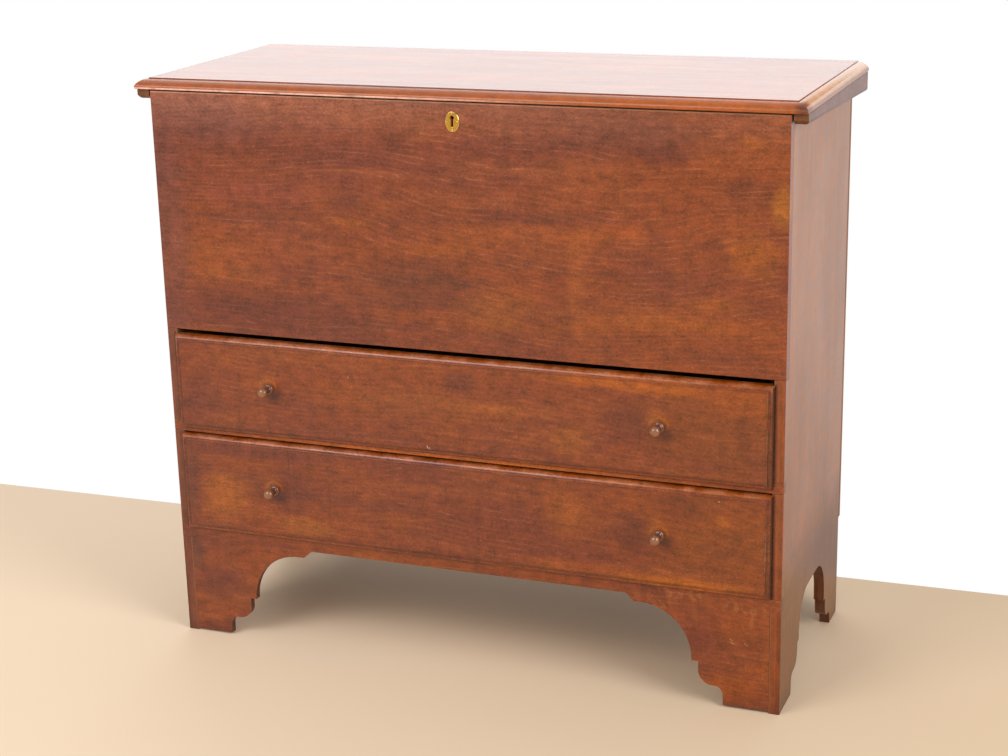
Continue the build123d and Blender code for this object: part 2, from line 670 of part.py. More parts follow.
def make_drawer(level, sill, opening, bottom_lip, top_gap):
    """A dovetailed drawer with a moulded front, named after its level."""
    bottom = sill + running_gap
    low = sill - bottom_lip
    high = sill + opening - top_gap
    box_half = inner_half - drawer_side_play
    lip_half = inner_half + side_lip
    rear = side_depth - drawer_rear_gap
    side_inner = box_half - drawer_side_thickness
    side_top = high - drawer_side_drop

    front = block(-lip_half, lip_half, face_plane, lip_plane, low, high)
    face_out = Vector(0, -1, 0)
    mid = (low + high) / 2
    for point, inward, length in (
        (Vector(0, face_plane, high), Vector(0, 0, -1), 2 * lip_half + 20),
        (Vector(0, face_plane, low), Vector(0, 0, 1), 2 * lip_half + 20),
        (Vector(-lip_half, face_plane, mid), Vector(1, 0, 0), 2 * opening),
        (Vector(lip_half, face_plane, mid), Vector(-1, 0, 0), 2 * opening),
    ):
        front = cut(front, edge_cutter(point, inward, face_out, length, edge_mould_radius, edge_mould_step,
                                       edge_mould_radius + edge_mould_step, 0))
    front = (front + block(-box_half, box_half, lip_plane, front_plug, bottom, high)).solids()[0]

    bottom_z = bottom + drawer_bottom_rise
    bottom_board = block(-side_inner - groove_depth, side_inner + groove_depth, front_plug - groove_depth, rear,
                         bottom_z, bottom_z + drawer_bottom_thickness)
    back = block(-side_inner, side_inner, rear - drawer_back_thickness, rear, bottom_z + drawer_bottom_thickness,
                 side_top)

    sides = []
    tails = []
    for side in (-1, 1):
        x0, x1 = min(side * side_inner, side * box_half), max(side * side_inner, side * box_half)
        board = block(x0, x1, front_plug, rear, bottom, side_top)
        for centre in spread(tail_count, bottom, side_top):
            tail_outline = joined(
                (front_plug + 1, centre - tail_width / 2 + tail_flare),
                (front_plug - tail_length, centre - tail_width / 2),
                (front_plug - tail_length, centre + tail_width / 2),
                (front_plug + 1, centre + tail_width / 2 - tail_flare),
                (front_plug + 1, centre - tail_width / 2 + tail_flare),
            )
            tail = sawn(tail_outline, Plane.YZ, x1 - x0).moved(Location((x0, 0, 0)))
            board = board + tail
            tails.append(tail)
        sides.append(board)

    nails = [
        cut_nail(small_nail_length, facing(x, rear - drawer_back_thickness / 2, bottom_z, (0, 0, -1)))
        for x in spread(4, -side_inner, side_inner)
    ]
    for side in (-1, 1):
        nails.extend(
            cut_nail(small_nail_length, facing(side * box_half, rear - drawer_back_thickness / 2, z, (side, 0, 0)))
            for z in spread(3, bottom_z + drawer_bottom_thickness, side_top)
        )
    knobs = [turned_knob(side * knob_offset + knob_shift, mid + knob_rise) for side in (-1, 1)]
    tenon_holes = [
        Cylinder(knob_tenon_radius, 4 * front_plug, rotation=(90, 0, 0)).moved(
            Location((side * knob_offset + knob_shift, 0, mid + knob_rise))
        )
        for side in (-1, 1)
    ]

    keep(level + "_drawer_front", cut(front, *tails, bottom_board, *tenon_holes))
    for name, board in zip(("left", "right"), sides):
        keep(level + "_drawer_side_" + name, cut(board.solids()[0], bottom_board, *nails))
    keep(level + "_drawer_back", cut(back, *nails))
    keep(level + "_drawer_bottom", cut(bottom_board, *nails))
    keep(level + "_drawer_nails", *nails)
    for name, knob in zip(("left", "right"), knobs):
        keep(level + "_drawer_knob_" + name, knob)


keep("side_board_left", side_boards[0])
keep("side_board_right", side_boards[1])
keep("front_panel", front_panel)
keep("divider_rail", divider_rail)
keep("apron", apron)
keep("bottom_rail", bottom_rail)
keep("well_bottom", well_bottom)
keep("back_board_lower", back_boards[0])
keep("back_board_upper", back_boards[1])
keep("back_nails", *back_nails)
keep("runners_upper", *runners["upper"])
keep("runners_lower", *runners["lower"])
keep("runner_nails", *runner_nail_solids)
keep("corner_blocks", *corner_blocks)
keep("escutcheon", escutcheon)
keep("escutcheon_pins", *escutcheon_pins)
keep("lock_case", lock_case)
keep("lock_screws", *lock_screws)
keep("lock_bolt", lock_bolt)
keep("hinge_case_leaves", *hinge_case_leaves)
keep("hinge_case_screws", *hinge_case_screws)
keep("hinge_pins", *hinge_pins)
keep("lid_board", lid_board)
keep("cleat_left", cleats[0])
keep("cleat_right", cleats[1])
keep("cleat_nails", *cleat_nail_solids)
keep("hinge_lid_leaves", *hinge_lid_leaves)
keep("hinge_lid_screws", *hinge_lid_screws)
keep("strike_plate", strike_plate)
keep("strike_screws", *strike_screws)
make_drawer("upper", upper_sill, upper_opening_height, upper_bottom_lip, upper_top_gap)
make_drawer("lower", lower_sill, lower_opening_height, lower_bottom_lip, lower_top_gap)

for name, shape in nodes.items():
    export_step(shape, os.path.join("parts", name + ".step"))
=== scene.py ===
import math

import bmesh
import bpy
from mathutils import Matrix, Vector


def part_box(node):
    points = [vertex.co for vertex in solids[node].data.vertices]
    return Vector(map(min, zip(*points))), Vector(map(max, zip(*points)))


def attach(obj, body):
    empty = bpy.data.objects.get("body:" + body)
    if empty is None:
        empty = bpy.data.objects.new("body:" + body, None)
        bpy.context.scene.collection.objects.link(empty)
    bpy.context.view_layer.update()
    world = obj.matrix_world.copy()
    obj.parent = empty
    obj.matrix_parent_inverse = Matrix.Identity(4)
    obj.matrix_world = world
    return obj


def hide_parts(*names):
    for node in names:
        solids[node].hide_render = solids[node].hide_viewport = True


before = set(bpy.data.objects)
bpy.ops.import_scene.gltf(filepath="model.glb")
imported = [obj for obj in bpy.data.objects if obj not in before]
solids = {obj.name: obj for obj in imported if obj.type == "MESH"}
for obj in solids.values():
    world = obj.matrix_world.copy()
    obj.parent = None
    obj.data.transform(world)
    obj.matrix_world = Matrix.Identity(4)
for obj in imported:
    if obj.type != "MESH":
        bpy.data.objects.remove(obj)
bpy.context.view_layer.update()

# The side boards. Each is one wide board with its grain upright, cut to a bootjack arch at the foot.
# Old red-brown varnish over a close-grained wood, worn to a soft sheen; the inner faces are bare wood.


def stain(red, green, blue):
    """A colour as a paint chart gives it, 0 to 255, made linear for the shader."""
    chart = [channel / 255 for channel in (red, green, blue)]
    return tuple(c / 12.92 if c <= 0.04045 else ((c + 0.055) / 1.055) ** 2.4 for c in chart) + (1.0,)


class Tone:
    """A value that changes over a surface. Arithmetic on it adds the shader's own maths nodes."""

    def __init__(self, bench, socket):
        self.bench = bench
        self.socket = socket

    def maths(self, operation, first, second=0.0):
        return self.bench.add("ShaderNodeMath", {"operation": operation}, {0: first, 1: second})

    def __add__(self, other):
        return self.maths("ADD", self, other)

    def __sub__(self, other):
        return self.maths("SUBTRACT", self, other)

    def __rsub__(self, other):
        return self.maths("SUBTRACT", other, self)

    def __mul__(self, other):
        return self.maths("MULTIPLY", self, other)

    def __truediv__(self, other):
        return self.maths("DIVIDE", self, other)

    def __pow__(self, other):
        return self.maths("POWER", self, other)

    def __abs__(self):
        return self.maths("ABSOLUTE", self)

    __radd__ = __add__
    __rmul__ = __mul__

    def least(self, other):
        return self.maths("MINIMUM", self, other)

    def most(self, other):
        return self.maths("MAXIMUM", self, other)

    def wave(self):
        return self.maths("SINE", self)


class Bench:
    """A node tree, and the one way in which nodes are added to it."""

    def add(self, kind, settings=None, sockets=None, output=0):
        node = self.tree.nodes.new(kind)
        for key, value in (settings or {}).items():
            setattr(node, key, value)
        for key, value in (sockets or {}).items():
            if isinstance(value, Tone):
                self.tree.links.new(value.socket, node.inputs[key])
            else:
                node.inputs[key].default_value = value
        return Tone(self, node.outputs[output]) if node.outputs else None


class Finish(Bench):
    """The procedural finish of one kind of surface, measured in metres on the piece itself."""

    def __init__(self, name):
        self.material = bpy.data.materials.new(name)
        self.material.use_nodes = True
        self.tree = self.material.node_tree
        self.tree.nodes.clear()
        place = self.tree.nodes.new("ShaderNodeTexCoord")
        self.x, self.y, self.z = self.split(Tone(self, place.outputs["Object"]))
        self.facing = [abs(part) for part in self.split(Tone(self, place.outputs["Normal"]))]

    def split(self, vector):
        first = self.add("ShaderNodeSeparateXYZ", None, {0: vector})
        outputs = first.socket.node.outputs
        return [Tone(self, outputs[index]) for index in range(3)]

    def noise(self, u, v, w, detail=2.0, roughness=0.5, swirl=0.0):
        vector = self.add("ShaderNodeCombineXYZ", None, {0: u, 1: v, 2: w})
        return self.add("ShaderNodeTexNoise", None, {
            "Vector": vector, "Scale": 1.0, "Detail": detail, "Roughness": roughness, "Distortion": swirl})

    def smooth(self, value, low, high, start=0.0, end=1.0):
        return self.add("ShaderNodeMapRange", {"interpolation_type": "SMOOTHSTEP"}, {
            0: value, 1: low, 2: high, 3: start, 4: end})

    def blend(self, share, under, over, mode="MIX"):
        return self.add("ShaderNodeMix", {"data_type": "RGBA", "blend_type": mode}, {0: share, 6: under, 7: over}, 2)

    def close(self, colour, roughness, height, depth, **fixed):
        """The surface itself: what varies comes in as tones, and what doesn't is set on the shader's own sockets."""
        bump = self.add("ShaderNodeBump", None, {"Strength": 1.0, "Distance": depth, "Height": height})
        surface = self.add("ShaderNodeBsdfPrincipled", None, {
            "Base Color": colour, "Roughness": roughness, "Normal": bump, **fixed})
        self.add("ShaderNodeOutputMaterial", None, {0: surface})
        return self.material


class OldVarnish(Finish):
    """Stained and varnished wood after two centuries of hands, sunlight and polish."""

    def __init__(self, name, along, seed, pith, age=0.64, figure=0.24, rings=0.0085):
        super().__init__(name)
        self.seed = seed
        self.age = age
        axes = {"x": (self.x, self.z, self.y), "lid": (self.x, self.y, self.z), "z": (self.z, self.y, self.x)}
        u, v, w = self.u, self.v, self.w = axes[along]
        self.end_grain = self.smooth(self.facing[2 if along == "z" else 0], 0.6, 0.9)
        # The log's heart lies off the board, and the board cuts its rings into long arches
        drift = self.noise(u * 1.7 + seed, v * 3.2, w * 3.2, 2.0) - 0.5
        sway = self.noise(u * 6.0, v * 12 + seed, w * 12, 3.0) - 0.5
        off, rise, slope = pith
        across = v - off + drift * 0.14
        depth = w + rise + u * slope + sway * 0.022
        wiggle = self.noise(u * 34, v * 70 + seed, w * 70, 2.0) * 0.0045
        radius = (across * across + depth * depth) ** 0.5 + wiggle
        ring = (radius * (2 * math.pi / rings)).wave()
        broken = self.smooth(self.noise(u * 16 + seed, v * 60, w * 60, 4.0, 0.7), 0.44, 0.70)
        self.line = self.smooth(ring, 0.72, 1.0) * broken
        self.fibre = self.noise(u * 34, v * 430, w * 430 + seed, 3.0, 0.6)
        self.pores = self.smooth(self.noise(u * 120, v * 1200, w * 1200 + seed, 1.0), 0.62, 0.76)
        self.mottle = self.noise(u * 42 + seed, v * 66, w * 66, 4.0, 0.62)
        self.speckle = self.noise(u * 250, v * 340, w * 340 + seed, 3.0, 0.7)
        self.streak = self.noise(u * 3 + seed, v * 170, w * 170, 2.0, 0.6)
        band = self.noise(u * 2.4 + seed, v * 27, w * 27, 4.0, 0.6)
        ripple = self.noise(u * 75, v * 10, w * 10 + seed, 3.0, 0.6)
        self.ragged = self.noise(u * 14 + seed, v * 34, w * 34, 4.0, 0.62) - 0.5
        self.cloud = self.smooth(self.noise(u * 3.2 + seed, v * 6.5, w * 6.5 + seed, 4.0, 0.55, 0.5), 0.34, 0.66)
        faded = self.smooth(self.noise(u * 5.5 + seed, v * 13, w * 13 - seed, 4.0, 0.6, 0.4), 0.50, 0.72)
        self.colour = self.blend(self.cloud * 0.85, stain(163, 81, 43), stain(140, 69, 50))
        self.colour = self.blend(faded * 0.55, self.colour, stain(180, 96, 44))
        self.colour = self.blend(self.smooth(band, 0.50, 0.68) * 0.40, self.colour, stain(186, 102, 56))
        self.colour = self.blend(self.smooth(band, 0.46, 0.34) * 0.35, self.colour, stain(122, 64, 50))
        self.colour = self.blend(self.line * figure, self.colour, stain(208, 138, 102))
        self.colour = self.blend(self.smooth(self.speckle, 0.60, 0.80) * 0.30, self.colour, stain(214, 150, 122))
        self.shade = (self.mottle - 0.5) * 1.25 + (self.speckle - 0.5) * 1.40 + (self.fibre - 0.5) * 0.40 + (
            (ripple - 0.5) * 0.34 - self.smooth(ring, 0.1, -0.9) * 0.07)
        self.gloss = 0.36 + (self.mottle - 0.5) * 0.24 + self.cloud * 0.04
        self.unfinished = None

    def patch(self, u0, v0, half_u, half_v, colour, strength, ragged=0.45):
        """A worn, faded or grimy place on the varnish, with a ragged edge along the grain."""
        du = (self.u - u0) * (1 / half_u)
        dv = (self.v - v0) * (1 / half_v)
        reach = (du * du + dv * dv) ** 0.5 + self.ragged * (2.4 * ragged)
        self.colour = self.blend(self.smooth(reach, 1.25, 0.30) * strength, self.colour, colour)

    def scratch(self, u0, v0, length, lean, colour, strength=0.8, width=0.0007):
        """A short scratch through the varnish, leaning from the board's own direction."""
        c, s = math.cos(lean), math.sin(lean)
        du = self.u - u0
        dv = self.v - v0
        along = abs(du * c + dv * s) * (2 / length)
        off = abs(dv * c - du * s) * (1 / width)
        mark = self.smooth(along, 1.0, 0.6) * self.smooth(off, 1.0, 0.3)
        self.colour = self.blend(mark * strength, self.colour, colour)

    def bare_side(self, place, edge, just_inside):
        """The side of the board that was never varnished, at the edge given, is bare wood gone brown."""
        self.unfinished = self.smooth(place, just_inside, edge)

    def finished(self, wear_and_highlight=None, end_dark=0.45, coat=0.20):
        if wear_and_highlight is not None:
            self.colour = self.blend(wear_and_highlight, self.colour, stain(226, 144, 106))
        self.colour = self.add("ShaderNodeHueSaturation", None, {
            "Saturation": 1.03, "Value": (1 + self.shade) * self.age, "Color": self.colour})
        # Painted light: the colour is made less blue from left to right across the chest, so the left reads pinker, as
        # hazed by the light falling from the left.
        painted_light_tint, less_blue = self.smooth(self.x, -0.45, 0.50), (1.0, 0.99, 0.80, 1.0)
        self.colour = self.blend(painted_light_tint, self.colour, less_blue, "MULTIPLY")
        self.colour = self.blend(self.pores * 0.18, self.colour, stain(70, 32, 22))
        self.colour = self.blend(self.end_grain * end_dark, self.colour, stain(64, 30, 22))
        if self.unfinished is not None:
            aged = self.blend(self.mottle, stain(168, 118, 76), stain(116, 76, 48))
            aged = self.blend(self.fibre * 0.4, aged, stain(96, 62, 40))
            self.colour = self.blend(self.unfinished, self.colour, aged)
            self.gloss = self.gloss + self.unfinished * 0.35
            coat = (1 - self.unfinished) * coat
        planing = self.noise(self.u * 7 + self.seed, self.v * 12, self.w * 12, 1.0)
        height = planing * 0.35 + self.mottle * 0.05 + self.fibre * 0.03 - self.pores * 0.05
        return self.close(self.colour, self.gloss, height, 0.0010, **{
            "Coat Weight": coat, "Coat Roughness": 0.22, "IOR": 1.45})


def worn_copy(node, body, finish, softness=0.0009, shortest=0.012):
    """A copy of a board's solid with its long edges worn round. It stands for the board."""
    mesh = solids[node].data.copy()
    mesh.name = node + "_worn"
    shape = bmesh.new()
    shape.from_mesh(mesh)
    bmesh.ops.remove_doubles(shape, verts=shape.verts, dist=2e-6)
    bmesh.ops.dissolve_limit(shape, angle_limit=math.radians(0.6), verts=shape.verts, edges=shape.edges)
    weight = shape.edges.layers.float.new("bevel_weight_edge")
    for edge in shape.edges:
        sharp = len(edge.link_faces) == 2 and edge.calc_face_angle(0) > math.radians(35)
        edge[weight] = 1.0 if sharp and edge.calc_length() > shortest else 0.0
    shape.to_mesh(mesh)
    shape.free()
    mesh.shade_smooth()
    mesh.set_sharp_from_angle(angle=math.radians(32))
    piece = bpy.data.objects.new(mesh.name, mesh)
    bpy.context.collection.objects.link(piece)
    bevel = piece.modifiers.new("worn edges", "BEVEL")
    bevel.limit_method = "WEIGHT"
    bevel.width = softness
    bevel.segments = 3
    bevel.use_clamp_overlap = False
    flat = piece.modifiers.new("flat faces stay flat", "WEIGHTED_NORMAL")
    flat.weight = 100
    flat.keep_sharp = True
    settle(piece)
    piece.data.materials.clear()
    piece.data.materials.append(finish)
    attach(piece, body)
    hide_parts(node)
    return piece


def settle(piece):
    """Turns a piece with modifiers into a plain mesh."""
    graph = bpy.context.evaluated_depsgraph_get()
    plain = bpy.data.meshes.new_from_object(piece.evaluated_get(graph))
    piece.modifiers.clear()
    piece.data = plain


side_low, side_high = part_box("side_board_right")
for side, name in ((-1, "side_board_left"), (1, "side_board_right")):
    # Painted sheen: the side boards' varnish is made lighter than the front's (0.80 against 0.64), for the light on
    # them.
    board = OldVarnish("side_varnish_" + name[11:], "z", 3.1 + side, (-0.02, side * -0.4, 0.09), 0.80, 0.30)
    board.shade = board.shade * 0.75 + (board.streak - 0.5) * 1.05
    board.gloss = board.gloss + (board.streak - 0.5) * 0.32 + (board.speckle - 0.5) * 0.20
    board.scratch(0.8646, -0.0824, 0.004, 0.4, stain(40, 22, 18), 0.9, 0.0018)
    board.scratch(0.6010, 0.0720, 0.0035, 0.2, stain(40, 22, 18), 0.8, 0.0015)
    board.scratch(0.0450, -0.1900, 0.016, 0.05, stain(40, 22, 18), 0.9, 0.0008)
    from_front = board.y - side_low.y
    # Painted sheen: the side boards are blended halfway toward a pale beige, for the sheen of the light on them.
    board.colour = board.blend(0.50, board.colour, stain(172, 120, 71))
    # Painted shade: each side board is made darker and less glossy toward its foot, from about 0.29 m down.
    painted_foot_shade = board.smooth(board.z + board.ragged * 0.05, 0.29, 0.17)
    board.colour = board.blend(painted_foot_shade * 0.60, board.colour, stain(96, 62, 38))
    front_edge = board.smooth(from_front, 0.004, 0.0005)
    board.colour = board.blend(front_edge * 0.8, board.colour, stain(146, 72, 40) if side > 0 else stain(128, 66, 50))
    # Painted shadow: the front edge of each side board is darkened beside the drawers, for the shade next to their
    # lips.
    painted_lip_shadow = board.smooth(abs(board.x), 0.5150, 0.5100) * board.smooth(abs(board.z - 0.365), 0.178, 0.172)
    board.colour = board.blend(painted_lip_shadow * front_edge * 0.75, board.colour, stain(56, 26, 18))
    arch = board.smooth(board.facing[0], 0.7, 0.3) * board.smooth(from_front, 0.01, 0.03)
    board.colour = board.blend(arch * 0.6, board.colour, stain(92, 42, 28))
    inner = min(abs(side_low.x), abs(side_high.x))
    board.bare_side(abs(board.x), inner + 0.0004, inner + 0.0020)
    scuffed = board.smooth(board.z + board.ragged * 0.03, 0.035, 0.0)
    board.colour = board.blend(scuffed * 0.5, board.colour, stain(84, 44, 34))
    worn_copy(name, "case", board.finished(coat=0.20 - painted_foot_shade * 0.14))

# The front panel. One wide board let into the front edges of the side boards, so its ends show at the corners.
# The figure arches at its left, the left end is hazy, and the varnish has gone orange at its right end.
panel = OldVarnish("panel_varnish", "x", 11.7, (0.10, 0.19, 0.14), figure=0.36)
haze, faded, purple = stain(136, 78, 68), stain(190, 104, 44), stain(118, 56, 46)
panel.patch(-0.515, 0.70, 0.05, 0.30, haze, 0.60)
panel.patch(-0.42, 0.90, 0.13, 0.05, haze, 0.55)
panel.patch(-0.41, 0.60, 0.13, 0.045, purple, 0.40)
panel.patch(-0.185, 0.779, 0.035, 0.016, purple, 0.55)
panel.patch(0.332, 0.877, 0.040, 0.024, purple, 0.60)
panel.patch(-0.334, 0.69, 0.12, 0.030, stain(172, 84, 44), 0.50)
panel.patch(-0.177, 0.745, 0.055, 0.010, faded, 0.45, 0.9)
panel.patch(-0.041, 0.709, 0.080, 0.013, faded, 0.35, 0.9)
panel.patch(0.120, 0.745, 0.110, 0.018, stain(190, 100, 50), 0.50, 1.0)
panel.patch(0.268, 0.757, 0.045, 0.014, stain(194, 98, 50), 0.55, 0.8)
panel.patch(0.020, 0.800, 0.160, 0.010, stain(184, 98, 56), 0.35, 1.0)
panel.patch(-0.340, 0.785, 0.140, 0.020, stain(176, 88, 62), 0.45, 0.9)
panel.patch(-0.060, 0.650, 0.130, 0.050, stain(108, 58, 46), 0.50, 0.8)
panel.patch(0.330, 0.620, 0.180, 0.018, stain(186, 102, 46), 0.45, 0.8)
panel.patch(-0.300, 0.590, 0.240, 0.030, purple, 0.45, 0.8)
panel.patch(0.300, 0.900, 0.140, 0.030, stain(112, 58, 48), 0.45, 0.8)
panel.patch(0.473, 0.733, 0.050, 0.038, faded, 0.70, 0.7)
panel.patch(0.514, 0.810, 0.018, 0.040, stain(196, 118, 46), 0.70)
panel.patch(0.469, 0.900, 0.025, 0.014, faded, 0.55)
panel.patch(0.410, 0.655, 0.060, 0.012, faded, 0.50)
panel.patch(0.198, 0.680, 0.017, 0.070, stain(184, 102, 54), 0.45)
panel.patch(0.060, 0.616, 0.070, 0.034, stain(172, 98, 46), 0.50)
panel_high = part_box("front_panel")[1]
leftward = panel.smooth(panel.x, 0.5, -0.3, 0.35, 0.8)
pale_top = panel.smooth(panel.z + panel.ragged * 0.04, 0.865, panel_high.z)
# Painted highlight: a pale pink line along the top edge of the panel, under the lid, strongest at the left.
painted_arris_highlight_panel = panel.smooth(panel.z, panel_high.z - 0.0034, panel_high.z - 0.0014)
panel.colour = panel.blend(pale_top * leftward * 0.62, panel.colour, stain(206, 134, 108))
panel.colour = panel.blend(painted_arris_highlight_panel * leftward, panel.colour, stain(240, 180, 156))
panel.bare_side((panel.y - panel_high.y).most(panel.z - panel_high.z), -0.0004, -0.0016)
worn_copy("front_panel", "case", panel.finished(end_dark=0.12))

# The divider rail and the apron. They cross the front edges of the side boards, and the apron's two bracket
# feet are sawn to a cove, a cusp and a rounded toe. The sawn edges took up more stain and are nearly black.
rail = OldVarnish("rail_varnish", "x", 5.3, (0.02, 0.30, 0.05))
# Painted light: the rail's face is lightened to pale orange along its whole length, so the shaded gap between the
# drawers reads less dark.
rail.patch(0.0, 0.375, 0.50, 0.030, stain(222, 120, 54), 0.90, 0.2)
worn_copy("divider_rail", "case", rail.finished())

apron = OldVarnish("apron_varnish", "x", 23.9, (0.10, 0.16, 0.10))
curl = apron.smooth((apron.x * 380 + apron.z * 90 + apron.noise(apron.x * 20, apron.z * 26, 0.0, 3.0) * 22).wave(),
                    -0.9, 1.0)
curl_place = apron.smooth(apron.x, 0.26, 0.36) * apron.smooth(apron.z + apron.ragged * 0.05, 0.115, 0.165)
curl_patchy = apron.smooth(apron.noise(apron.x * 30, apron.z * 34, 0.0, 3.0), 0.42, 0.62)
apron.colour = apron.blend(curl * curl_place * curl_patchy * 0.34, apron.colour, stain(218, 136, 80))
apron.patch(-0.503, 0.150, 0.022, 0.040, stain(112, 66, 56), 0.6)
apron.patch(-0.459, 0.095, 0.055, 0.040, stain(124, 62, 50), 0.55)
apron.patch(-0.446, 0.050, 0.050, 0.018, stain(164, 84, 48), 0.5)
apron.patch(-0.347, 0.178, 0.060, 0.010, stain(128, 60, 50), 0.5)
apron.patch(0.396, 0.114, 0.032, 0.045, stain(132, 62, 46), 0.55)
apron.patch(0.450, 0.036, 0.062, 0.032, stain(180, 90, 36), 0.65)
apron.patch(0.461, 0.132, 0.045, 0.022, stain(170, 88, 40), 0.45)
for number, (scratch_x, scratch_z) in enumerate(((0.447, 0.117), (0.449, 0.112), (0.470, 0.113))):
    apron.scratch(scratch_x, scratch_z, 0.008, -0.3 - 0.2 * number, stain(226, 190, 160), 0.7)
scuffed = apron.smooth(apron.z + apron.ragged * 0.03, 0.030, 0.002)
apron.colour = apron.blend(scuffed * 0.35, apron.colour, stain(96, 48, 36))
apron_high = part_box("apron")[1]
apron.bare_side(apron.y, apron_high.y - 0.0002, apron_high.y - 0.0010)
sawn_edge = apron.smooth(apron.facing[1], 0.7, 0.3)
apron.colour = apron.blend(sawn_edge * 0.70, apron.colour, stain(62, 28, 20))
worn_copy("apron", "case", apron.finished(), 0.0007, shortest=0.004)


# The wood that isn't seen with the chest shut: the well's floor, the bottom rail, the runners and the blocks
# behind the bracket feet. Planed pine, never finished, and browned by age and dust.
class BareWood(Finish):
    """Planed softwood with no finish on it, gone brown."""

    def __init__(self, name, along, seed, fresh, aged):
        super().__init__(name)
        u, v, w = {"x": (self.x, self.z, self.y), "y": (self.y, self.x, self.z), "z": (self.z, self.x, self.y)}[along]
        bow = self.noise(u * 1.5 + seed, v * 3, w * 3, 2.0) * 0.06
        bow = bow + self.noise(u * 4, v * 22 + seed, w * 22, 3.0) * 0.012
        faint = self.smooth(self.noise(u * 2 + seed, v * 16, w * 16, 3.0, 0.6), 0.35, 0.65)
        ring = self.smooth(((v + w * 0.6 + bow) * 760).wave(), -0.1, 1.0) * faint
        fibre = self.noise(u * 12, v * 420, w * 420 + seed, 3.0, 0.6)
        darker_mask = self.smooth(self.noise(u * 2 + seed, v * 9, w * 9, 5.0, 0.65), 0.25, 0.75)
        colour = self.blend(darker_mask, fresh, aged)
        colour = self.blend(ring * 0.25, colour, aged)
        colour = self.blend((fibre - 0.5) * 0.5 + 0.2, colour, stain(84, 54, 32))
        self.done = self.close(colour, 0.72 + (fibre - 0.5) * 0.2, fibre * 0.5 + ring * 0.3, 0.0005)


def clad(node, finish):
    """Gives a solid of the frame its finish."""
    mesh = solids[node].data
    mesh.materials.clear()
    mesh.materials.append(finish)


pine_across = BareWood("bare_pine_across", "x", 2.0, stain(190, 142, 94), stain(140, 95, 60)).done
pine_deep = BareWood("bare_pine_deep", "y", 7.0, stain(184, 136, 90), stain(136, 92, 58)).done
pine_upright = BareWood("bare_pine_upright", "z", 4.0, stain(176, 128, 84), stain(128, 86, 54)).done
for node in ("well_bottom", "bottom_rail"):
    clad(node, pine_across)
for node in ("runners_upper", "runners_lower"):
    clad(node, pine_deep)
clad("corner_blocks", pine_upright)

# The two back boards, nailed across the rear edges of the side boards with a gap for the wood to move.
# Rough-planed pine, left without finish and darkened by the wall.
back_pine = BareWood("back_pine", "x", 14.0, stain(164, 114, 74), stain(142, 96, 62)).done
for node in ("back_board_lower", "back_board_upper"):
    worn_copy(node, "case", back_pine, 0.0010)


# The nails. Square cut nails hold the back boards, the runners, the cleats and the drawers together.
# Their flat heads are a little crooked, and the iron has gone brown-black.
class Jig(Bench):
    """A node tree that makes the same small piece at every marked place."""

    def __init__(self, name):
        self.tree = bpy.data.node_groups.new(name, "GeometryNodeTree")
        self.tree.interface.new_socket("Geometry", in_out="INPUT", socket_type="NodeSocketGeometry")
        self.tree.interface.new_socket("Geometry", in_out="OUTPUT", socket_type="NodeSocketGeometry")
        self.wanted = []
        self.names = {}

    def size(self, name, kind="Float"):
        self.names[name] = self.tree.interface.new_socket(
            name, in_out="INPUT", socket_type="NodeSocket" + kind).identifier
        self.wanted.append(name)

    def open(self):
        entry = self.tree.nodes.new("NodeGroupInput")
        self.marks = Tone(self, entry.outputs["Geometry"])
        return [Tone(self, entry.outputs[name]) for name in self.wanted]

    def piece_at_marks(self, piece, outward, turn, lean, seed, finish):
        """Sets the piece at each mark, facing outward, each a little differently, and makes one plain mesh."""
        base = self.add("FunctionNodeAlignRotationToVector", {"axis": "Z"}, {"Vector": outward})
        twist = []
        for number, reach in enumerate((lean, lean, turn)):
            twist.append(self.add("FunctionNodeRandomValue", {"data_type": "FLOAT"}, {
                2: reach * -1.0, 3: reach, "Seed": seed + float(number)}, 1))
        angles = self.add("ShaderNodeCombineXYZ", None, {0: twist[0], 1: twist[1], 2: twist[2]})
        twisted = self.add("FunctionNodeRotateRotation", {"rotation_space": "LOCAL"}, {
            0: base, 1: self.add("FunctionNodeEulerToRotation", None, {0: angles})})
        placed = self.add("GeometryNodeInstanceOnPoints", None, {
            "Points": self.marks, "Instance": piece, "Rotation": twisted})
        whole = self.add("GeometryNodeRealizeInstances", None, {0: placed})
        dressed = self.add("GeometryNodeSetMaterial", None, {"Geometry": whole, "Material": finish})
        leave = self.tree.nodes.new("NodeGroupOutput")
        self.tree.links.new(dressed.socket, leave.inputs["Geometry"])

    def run(self, name, marks, body, nodes, slot, **sizes):
        """Runs the jig on a set of marks, and gives the plain mesh of all the pieces to a body."""
        points = bpy.data.meshes.new(name)
        points.from_pydata([tuple(mark) for mark in marks], [], [])
        piece = bpy.data.objects.new(name, points)
        bpy.context.collection.objects.link(piece)
        work = piece.modifiers.new("jig", "NODES")
        work.node_group = self.tree
        for key, value in sizes.items():
            work[self.names[key.replace("_", " ").capitalize()]] = value
        settle(piece)
        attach(piece, body)
        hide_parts(*nodes)
        return piece


def heads(node, axis, sign):
    """The places of a group's heads, on the outer side of each of its solids."""
    shape = bmesh.new()
    shape.from_mesh(solids[node].data)
    bmesh.ops.remove_doubles(shape, verts=shape.verts, dist=2e-6)
    left = set(shape.verts)
    places = []
    while left:
        island = [left.pop()]
        for vertex in island:
            for edge in vertex.link_edges:
                other = edge.other_vert(vertex)
                if other in left:
                    left.remove(other)
                    island.append(other)
        low = Vector([min(v.co[i] for v in island) for i in range(3)])
        high = Vector([max(v.co[i] for v in island) for i in range(3)])
        middle = (low + high) / 2
        middle[axis] = high[axis] if sign > 0 else low[axis]
        places.append(middle)
    shape.free()
    return sorted(places, key=lambda place: tuple(round(part, 5) for part in place))


